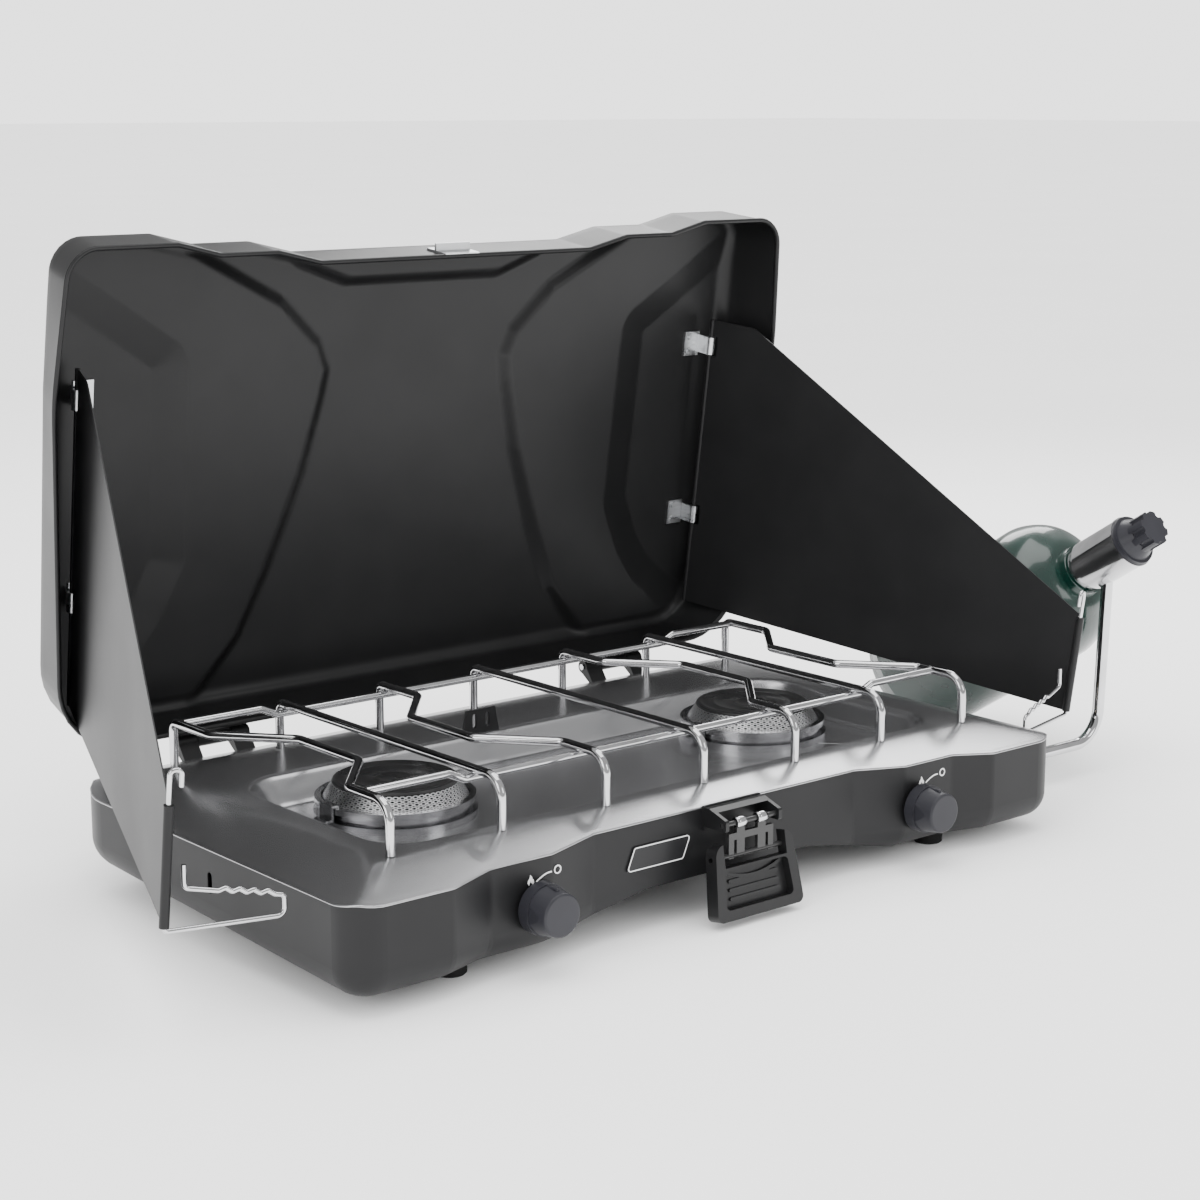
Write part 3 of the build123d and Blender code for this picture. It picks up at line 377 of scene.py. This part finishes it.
def lid_outline(half, middle, top):
    """The lid's outline across and up it, anticlockwise from its lower right corner."""
    right = [(half, LID_LOW), (middle, LID_WIDEST), (top, LID_TOP), *TOP_STEPS]
    left = [(-x, v) for x, v in reversed(right)]
    corners = [Vector(point) * MM for point in right + left]
    return rounded(corners, [radius * MM for radius in LID_CORNERS + LID_CORNERS[::-1]])


def lid_relief(x, v):
    """How far the lid's panel stands forward: two side lobes and a ledge at the top."""
    spot = Vector((abs(x), v))
    side = 1 if abs(x) > across(RIB_LINE, v) else -1
    lobe = clamp(0.5 + side * distance(spot, RIB_LINE) / RIB_SLOPE)
    inside = 1 if abs(x) < across(PAD_LINE, v) else -1
    off_pad = clamp(inside * distance(spot, PAD_LINE) / PAD_SLOPE)
    side = 1 if v > ledge_height(abs(x)) else -1
    ledge = clamp(0.5 + side * distance(spot, LEDGE_LINE) / LEDGE_SLOPE)
    return LOBE * lobe * off_pad * (1 - ledge) + LEDGE * ledge


def ledge_height(x):
    """How high up the lid the top ledge starts, at a distance from the middle."""
    line = LEDGE_LINE[::-1]
    for start, end in zip(line, line[1:]):
        if start.x <= x <= end.x:
            return start.y + (end.y - start.y) * (x - start.x) / (end.x - start.x)
    return 1.0


def make_lid():
    """The pressed lid, as one sheet from its rim to its embossed panel."""
    rim, back = finer([lid_outline(*LID_RIM_HALVES), lid_outline(*LID_BACK_HALVES)], LID_REACH)
    rim_in = inward(rim)
    back_in = inward(back)
    loops = []

    def level(w, offset):
        share = (w - LID_PANEL) / (LID_RIM - LID_PANEL)
        made = []
        for a, b, na, nb in zip(rim, back, rim_in, back_in):
            made.append(b.lerp(a, share) + nb.lerp(na, share) * (offset + LID_SHEET))
        return made

    for w in LID_WALL:
        loops.append([lid_point(p.x, p.y, w * MM) for p in level(w * MM, 0)])
    for turn in range(LID_FILLET_TURNS + 1):
        angle = math.pi / 2 * turn / LID_FILLET_TURNS
        w = LID_PANEL + LID_FILLET * (1 - math.sin(angle))
        flat = level(w, LID_FILLET * (1 - math.cos(angle)))
        share = turn / LID_FILLET_TURNS
        loops.append([lid_point(p.x, p.y, w + share * lid_relief(p.x, p.y)) for p in flat])
    edge = level(LID_PANEL, LID_FILLET)
    for ring in range(1, LID_RINGS + 1):
        made = []
        for p in edge:
            core = Vector((min(LID_CORE_HALF, max(-LID_CORE_HALF, p.x)), LID_CORE_UP))
            q = p.lerp(core, ring / LID_RINGS)
            made.append(lid_point(q.x, q.y, LID_PANEL + lid_relief(q.x, q.y)))
        loops.append(made)
    points, faces = bridge(loops)
    shell = piece("lid_pressing", points, faces, PAINT["lid"], "lid", ["lid_shell"])
    thicken(shell, LID_SHEET)

    bead = []
    for turn in range(BEAD_TURNS):
        angle = 2 * math.pi * turn / BEAD_TURNS
        offset = LID_SHEET / 2 + BEAD_RADIUS * math.cos(angle)
        w = LID_RIM - BEAD_SINK + BEAD_RADIUS * math.sin(angle)
        bead.append([lid_point(*(p + n * offset), w) for p, n in zip(rim, rim_in)])
    points, faces = bridge(bead + [bead[0]])
    piece("lid_rolled_rim", points, faces, PAINT["lid"], "lid")


# =============================== cooktop ===============================
RIM_Z = 60 * MM
LEDGE_Z = 70 * MM
BASIN_Z = 54 * MM
FRONT_END, FRONT_MID, FRONT_CENTRE = -145.5, -137.5, -129.5
CASE_REAR = 155
CASE_HALF = 267
FRONT_STEPS = [(-205, FRONT_END), (-176, FRONT_MID), (-135, FRONT_MID), (-100, FRONT_CENTRE)]
FRONT_RADII = [20] + [12] * 8 + [20]
REAR_RADII = [45, 45]
TOP_REACH = 3.2 * MM
TOP_SHEET = 0.9 * MM
DECK_RECT = (0.230, -0.110, 0.118, 0.026)  # half width, front, rear and corner radius
BASIN_RECT = (0.212, -0.098, 0.062, 0.030)
DECK_FALL, SIDE_RUN, FRONT_RUN = 10, 37, 35.5  # the sloping edges, mm
DECK_BLEND = 1.1 * MM
DECK_BLEND_SHARE = 0.6
LIP = ((-0.2, 1.0), (-0.35, 0.6), (-0.1, 0.15), (0.7, 0.0))  # inward and down, mm
LIP_INSIDE = 0.7  # mm
SLOPE_STEPS = 18
DECK_SHARES = (0.25, 0.5, 0.75, 0.9)
BASIN_WALL = 14 * MM
BASIN_BENDS = 12
FLOOR_RINGS = 16
FLOOR_CORE_HALF, FLOOR_CORE_Y = 0.13, -0.018


def case_outline():
    """The case's outline from above, anticlockwise from its front left corner."""
    left = [(-CASE_HALF, FRONT_END), *FRONT_STEPS]
    right = [(-x, y) for x, y in reversed(left)]
    corners = left + right + [(CASE_HALF, CASE_REAR), (-CASE_HALF, CASE_REAR)]
    radii = [radius * MM for radius in FRONT_RADII + REAR_RADII]
    return rounded([Vector(point) * MM for point in corners], radii)


def onto(point, half, front, rear, radius):
    """The nearest point of a rounded rectangle."""
    core = Vector((
        min(half - radius, max(-half + radius, point.x)),
        min(rear - radius, max(front + radius, point.y)),
    ))
    return core + (point - core).normalized() * radius


def deck_height(spot):
    """Height of the deck: level in the middle, and sloping down to the case on every side."""
    gaps = (
        (CASE_HALF * MM - abs(spot.x)) * DECK_FALL / SIDE_RUN,
        (spot.y - FRONT_END * MM) * DECK_FALL / FRONT_RUN,
        (CASE_REAR * MM - spot.y) * DECK_FALL / SIDE_RUN,
        LEDGE_Z - RIM_Z,
    )
    total = sum(math.exp(-(gap - min(gaps)) / DECK_BLEND) for gap in gaps)
    return RIM_Z + min(gaps) - DECK_BLEND * math.log(total) * DECK_BLEND_SHARE


def make_cooktop():
    """The dished cooktop, as one sheet from its lip over the sloping edges into the basin."""
    rim = finer([case_outline()], TOP_REACH)[0]
    rim_in = inward(rim)
    ledge = [onto(p, *DECK_RECT) for p in rim]
    loops = []
    for offset, drop in LIP:
        made = []
        for p, n in zip(rim, rim_in):
            spot = p + n * offset * MM
            made.append((*spot, deck_height(p) - drop * MM))
        loops.append(made)
    for step in range(1, SLOPE_STEPS + 1):
        made = []
        for p, n, q in zip(rim, rim_in, ledge):
            spot = (p + n * LIP_INSIDE * MM).lerp(q, step / SLOPE_STEPS)
            made.append((*spot, deck_height(spot)))
        loops.append(made)
    basin = [onto(p, *BASIN_RECT) for p in ledge]
    basin_in = inward(basin)
    for share in DECK_SHARES:
        loops.append([(*q.lerp(p, share), LEDGE_Z) for q, p in zip(ledge, basin)])
    for bend in range(BASIN_BENDS + 1):
        share = bend / BASIN_BENDS
        z = LEDGE_Z - (LEDGE_Z - BASIN_Z) * ease(share)
        loops.append([(*(p + n * BASIN_WALL * share), z) for p, n in zip(basin, basin_in)])
    floor = [p + n * BASIN_WALL for p, n in zip(basin, basin_in)]
    for ring in range(1, FLOOR_RINGS + 1):
        made = []
        for p in floor:
            core = Vector((min(FLOOR_CORE_HALF, max(-FLOOR_CORE_HALF, p.x)), FLOOR_CORE_Y))
            made.append((*p.lerp(core, ring / FLOOR_RINGS), BASIN_Z))
        loops.append(made)
    points, faces = bridge(loops)
    top = piece("cooktop_dish", points, faces, COOKTOP, "case", ["cooktop"])
    thicken(top, TOP_SHEET)


# =============================== burners ===============================
BURNER_X = 139 * MM
LATHE_TURNS = 96
SHARP_EDGE = math.radians(35)
CAP_PROFILE = [(34, 73.4), (36, 73.5), (36.2, 74.2), (35.6, 75.2), (34.4, 75.7), (33.0, 75.5),
               (31.5, 74.7), (27.5, 74.5), (26.2, 75.2), (25.0, 75.4), (23.8, 75.2), (22.4, 74.5),
               (13.0, 74.3), (11.8, 74.9), (10.6, 75.1), (9.4, 74.9), (8.2, 74.4), (0.1, 74.4)]
MESH_COLUMNS, MESH_ROWS, HOLE_SIDES = 62, 5, 8
HOLE_SHARE = 0.56
MESH_SHEET = 0.4 * MM
MESH_LOW_RADIUS, MESH_TAPER = 42, 6  # mm
MESH_LOW_Z, MESH_TALL = 64.6, 9


def lathe(name, profile, centre, material, body, stands_for=()):
    """A ring or disc: a profile of (radius, height) turned about a vertical axis."""
    loops = []
    for radius, height in profile:
        loop = []
        for turn in range(LATHE_TURNS):
            angle = 2 * math.pi * turn / LATHE_TURNS
            out = Vector((math.cos(angle), math.sin(angle), 0)) * radius * MM
            loop.append(Vector(centre) + out + Vector((0, 0, height * MM)))
        loops.append(loop)
    points, faces = bridge(loops)
    thing = piece(name, points, faces, material, body, stands_for)
    split = thing.modifiers.new("edges", "EDGE_SPLIT")
    split.split_angle = SHARP_EDGE
    return thing


def make_burner_cap(side, sign):
    """The dished cap of a burner, with a rolled edge and two pressed rings."""
    lathe(f"burner_lid_{side}", CAP_PROFILE, (sign * BURNER_X, 0, 0), PAINT["burner_black"],
          "case", [f"burner_cap_{side}"])


def cell_corner(corner, on_hole):
    """A corner of one cell of the mesh, from -1 to 1: on its hole, or on its square outer edge."""
    angle = 2 * math.pi * (corner + 0.5) / HOLE_SIDES
    if on_hole:
        return math.cos(angle) * HOLE_SHARE, math.sin(angle) * HOLE_SHARE
    widest = max(abs(math.cos(angle)), abs(math.sin(angle)))
    return math.cos(angle) / widest, math.sin(angle) / widest


def mesh_point(sign, along, up):
    """A point of a burner's tapered ring, from its share of the way round and of the way up."""
    radius = (MESH_LOW_RADIUS - MESH_TAPER * up) * MM
    turn = 2 * math.pi * along
    z = (MESH_LOW_Z + MESH_TALL * up) * MM
    return sign * BURNER_X + radius * math.cos(turn), radius * math.sin(turn), z


def make_burner_mesh(side, sign):
    """The perforated ring of a burner, with staggered round holes."""
    points = []
    faces = []
    for row in range(MESH_ROWS):
        for column in range(MESH_COLUMNS):
            first = len(points)
            for on_hole in (False, True):
                for corner in range(HOLE_SIDES):
                    u, t = cell_corner(corner, on_hole)
                    along = (column + 0.5 + u / 2 + (row % 2) / 2) / MESH_COLUMNS
                    up = (row + 0.5 + t / 2) / MESH_ROWS
                    points.append(mesh_point(sign, along, up))
            for corner in range(HOLE_SIDES):
                after = (corner + 1) % HOLE_SIDES
                hole = first + HOLE_SIDES
                faces.append((first + corner, first + after, hole + after, hole + corner))
    ring = piece(f"burner_screen_{side}", points, faces, MESH, "case",
                 [f"burner_mesh_{side}"])
    thicken(ring, MESH_SHEET)


# =============================== front panel trim ===============================
def plate(name, outlines, plane_y, depth, material):
    """Flat shapes standing a little proud of a front panel, each one outline."""
    points = []
    faces = []
    for outline in outlines:
        first = len(points)
        count = len(outline)
        points += [(x * MM, plane_y, z * MM) for x, z in outline]
        points += [(x * MM, plane_y - depth, z * MM) for x, z in outline]
        faces.append(tuple(range(first + count, first + 2 * count)))
        for index in range(count):
            after = (index + 1) % count
            front = first + count
            faces.append((first + index, first + after, front + after, front + index))
    return piece(name, points, faces, material, "case", smooth=False)


def band(line, width):
    """An outline round a thin band that follows a line."""
    sides = ([], [])
    for index, here in enumerate(line):
        run = Vector(line[min(index + 1, len(line) - 1)]) - Vector(line[max(index - 1, 0)])
        off = Vector((-run.y, run.x)).normalized() * width / 2
        sides[0].append(tuple(Vector(here) + off))
        sides[1].append(tuple(Vector(here) - off))
    return sides[0] + sides[1][::-1]


# Printed marks, in mm; x runs from the left end of each knob's marks.
DIAL_STARTS = (("left", -152), ("right", 147))
PRINT_DEPTH = 0.12 * MM
DIAL_LINE = 0.8
DIAL_RING = (20.5, 52.6, 2.1)  # centre and radius
DIAL_RING_HALF = 8  # steps in half a turn
DIAL_ARC = (6, 10.5, 48.6, 3.6)  # left end, width, height of its ends, rise
DIAL_ARC_STEPS = 8
DIAL_ARC_TURN = 0.55  # share of a half wave
FLAME = [(1.1, 47.4), (0.2, 48.8), (0.6, 50.2), (1.7, 51.6), (2.0, 53.2), (3.2, 51.9), (3.5, 50.9),
         (4.3, 50.2), (4.6, 48.7), (3.8, 47.5), (3.0, 48.4), (2.3, 49.8), (1.7, 48.6)]


def dial_ring(start):
    """The line of the small ring that marks a knob's end position."""
    x, z, radius = DIAL_RING
    turns = [step / DIAL_RING_HALF * math.pi for step in range(2 * DIAL_RING_HALF + 1)]
    return [(start + x + radius * math.cos(turn), z + radius * math.sin(turn)) for turn in turns]


def dial_arc(start):
    """The line of the arc between a knob's flame and its ring."""
    left, width, z, rise = DIAL_ARC
    line = []
    for step in range(DIAL_ARC_STEPS + 1):
        lift = rise * math.sin(math.pi * step / DIAL_ARC_STEPS * DIAL_ARC_TURN)
        line.append((start + left + width * step / DIAL_ARC_STEPS, z + lift))
    return line


def make_dials():
    """A flame, an arc and a ring printed over each knob."""
    for side, start in DIAL_STARTS:
        flame = [(start + x, z) for x, z in FLAME]
        marks = [band(dial_ring(start), DIAL_LINE), band(dial_arc(start), DIAL_LINE), flame]
        plate(f"dial_{side}", marks, FRONT_MID * MM, PRINT_DEPTH, PAINT["print"])


# Latch trim, in mm; the sleeve is (along the pin, radius), and the scoop is measured from the pivot.
SLEEVE = ((-3.4, 2.4), (-3.2, 3.1), (-1.2, 3.2), (1.2, 3.2), (3.2, 3.1), (3.4, 2.4))
SLEEVE_X = 8
SLEEVE_TURNS = 24
SCOOP_STEPS = 28
SCOOP_HALF = 23.6
SCOOP_DROP, SCOOP_SAG = 7.5, 5.5
SCOOP_EDGE, SCOOP_DEPTH = 1.0, 1.6


def make_latch_sleeves():
    """Two bright sleeves on the link's upper pin."""
    pin = Vector(JOINTS["latch_link_pivot"]["pos_m"])
    for side, sign in (("left", -1), ("right", 1)):
        loops = []
        for along, radius in SLEEVE:
            loop = []
            for turn in range(SLEEVE_TURNS):
                angle = 2 * math.pi * turn / SLEEVE_TURNS
                off = Vector((0, math.cos(angle), math.sin(angle))) * radius * MM
                loop.append(pin + Vector(((sign * SLEEVE_X + along) * MM, 0, 0)) + off)
            loops.append(loop)
        points, faces = bridge(loops)
        piece(f"latch_sleeve_{side}", points, faces, CHROME, "link")


def make_latch_scoop():
    """The curved lower edge of the scoop in the latch handle."""
    pivot = Vector(JOINTS["latch_handle_pivot"]["pos_m"])
    down = Vector((0, -math.sin(HANDLE_LEAN), -math.cos(HANDLE_LEAN)))
    front = Vector((0, -math.cos(HANDLE_LEAN), math.sin(HANDLE_LEAN)))
    tops, lows = [], []
    for step in range(SCOOP_STEPS + 1):
        share = 2 * step / SCOOP_STEPS - 1
        sag = SCOOP_DROP + SCOOP_SAG * (1 - share * share)
        middle = pivot + Vector((share * SCOOP_HALF * MM, 0, 0)) + down * sag * MM
        tops.append(middle - down * SCOOP_EDGE * MM)
        lows.append(middle + down * SCOOP_EDGE * MM)
    out = front * SCOOP_DEPTH * MM
    skin = [tops, [point + out for point in tops], [point + out for point in lows], lows]
    points, faces = bridge(skin, close=False)
    piece("latch_scoop", points, faces, PAINT["latch"], "handle", smooth=False)


BADGE_CORNERS = [(-77, 37.7), (-36.4, 37.7), (-31, 50.3), (-71.6, 50.3)]
BADGE_RADIUS = 1.6 * MM
BADGE_LINE = 0.6
BADGE_PLATE = 1  # thickness of the CAD badge plate, mm


def make_badge_border():
    """A pale line just inside the edge of the blank badge."""
    corners = [Vector(corner) * MM for corner in BADGE_CORNERS]
    outline = [point / MM for point in rounded(corners, [BADGE_RADIUS] * 4, 4)]
    outline.append(outline[0])
    face_y = (FRONT_CENTRE - BADGE_PLATE) * MM
    plate("badge_border", [band(outline, BADGE_LINE)], face_y, PRINT_DEPTH, PAINT["print"])


# =============================== materials of the CAD nodes ===============================
def paint_nodes():
    """Materials for the CAD nodes that are shown as they are."""
    paint(PAINT["case"], "case_shell")
    paint(PAINT["rubber"], *[f"rubber_foot_{number}" for number in range(1, 5)])
    paint(BURNER, *both("burner_bowl"), "burner_clips")
    paint(PAINT["burner_black"], *both("burner_cap"))
    paint(STEEL, *both("venturi_tube"), *both("valve_stem"), "gas_manifold", "hinge_rivets")
    paint(STEEL, "hinge_pins", "bracket_rivets", *both("windscreen_brackets"), "lid_catch")
    paint(PAINT["burner_black"], "latch_link")
    paint(BRASS, *both("gas_valve"), "inlet_fitting")
    paint(PAINT["knob"], *both("knob"), "regulator_cap")
    paint(PAINT["latch"], "latch_mount", "latch_handle", "regulator_clip")
    paint(PAINT["screen"], *both("windscreen"), *both("base_hinge"), *both("lid_hinge"))
    paint(PAINT["badge"], "badge_plate")
    paint(PAINT["grey"], "cylinder_base_ring")
    paint(GREEN, "cylinder_body")
    paint(CHROME, *both("prop_wire"), "regulator_tube", "inlet_nut", "regulator_body")
    paint(CHROME, "regulator_ring", "cylinder_valve", "grate_rail_front", "grate_rail_rear")
    paint(CHROME, *[f"grate_wire_{number}" for number in range(1, 8)])


# =============================== stage, lights and camera ===============================
def make_stage():
    """A plain pale floor."""
    data = bpy.data.meshes.new("floor")
    size = FLOOR_HALF
    corners = [(-size, -size, 0), (size, -size, 0), (size, size, 0), (-size, size, 0)]
    data.from_pydata(corners, [], [(0, 1, 2, 3)])
    floor = bpy.data.objects.new("floor", data)
    bpy.context.scene.collection.objects.link(floor)
    material, tree, surface, place = shader("floor_white", roughness=0.9)
    surface.inputs["Specular IOR Level"].default_value = 0.1
    shades = ramp(tree, noise(tree, place, 2.0), (0.88, 0.88, 0.88), (0.9, 0.9, 0.9))
    tree.links.new(shades, surface.inputs["Base Color"])
    data.materials.append(material)


def lamp(name, place, target, size, power):
    """A square soft light."""
    data = bpy.data.lights.new(name, "AREA")
    data.shape = "RECTANGLE"
    data.size, data.size_y = size
    data.energy = power
    light = bpy.data.objects.new(name, data)
    light.location = place
    light.rotation_euler = (Vector(target) - Vector(place)).to_track_quat("-Z", "Y").to_euler()
    bpy.context.scene.collection.objects.link(light)


def make_lights():
    """A white studio: an even surround and a few large soft lights."""
    world = bpy.data.worlds.new("studio")
    bpy.context.scene.world = world
    world.use_nodes = True
    tree = world.node_tree
    background = tree.nodes["Background"]
    background.inputs["Color"].default_value = (1, 1, 1, 1)
    rays = tree.nodes.new("ShaderNodeLightPath")
    strength = tree.nodes.new("ShaderNodeMapRange")
    strength.inputs["To Min"].default_value = STUDIO_BRIGHT
    strength.inputs["To Max"].default_value = STUDIO_IN_GLOSS
    tree.links.new(rays.outputs["Is Glossy Ray"], strength.inputs["Value"])
    tree.links.new(strength.outputs["Result"], background.inputs["Strength"])
    world.cycles.sampling_method = "NONE"
    for settings in LAMPS:
        lamp(*settings)


def make_camera():
    """The camera, looking down at the stove from its front left."""
    data = bpy.data.cameras.new("camera")
    data.lens = CAMERA_LENS
    data.sensor_width = SENSOR_WIDTH
    camera = bpy.data.objects.new("camera", data)
    camera.location = CAMERA_PLACE
    camera.rotation_euler = (math.radians(90 - CAMERA_DROP), 0, math.radians(-CAMERA_AZIMUTH))
    bpy.context.scene.collection.objects.link(camera)
    bpy.context.scene.camera = camera


paint_nodes()
make_lid()
make_cooktop()
for burner_side, burner_sign in (("left", -1), ("right", 1)):
    make_burner_mesh(burner_side, burner_sign)
    make_burner_cap(burner_side, burner_sign)
make_dials()
make_latch_sleeves()
make_latch_scoop()
make_badge_border()
soften("knob_left", "knob_right", "latch_handle", "latch_mount", "regulator_body")
make_stage()
make_lights()
make_camera()
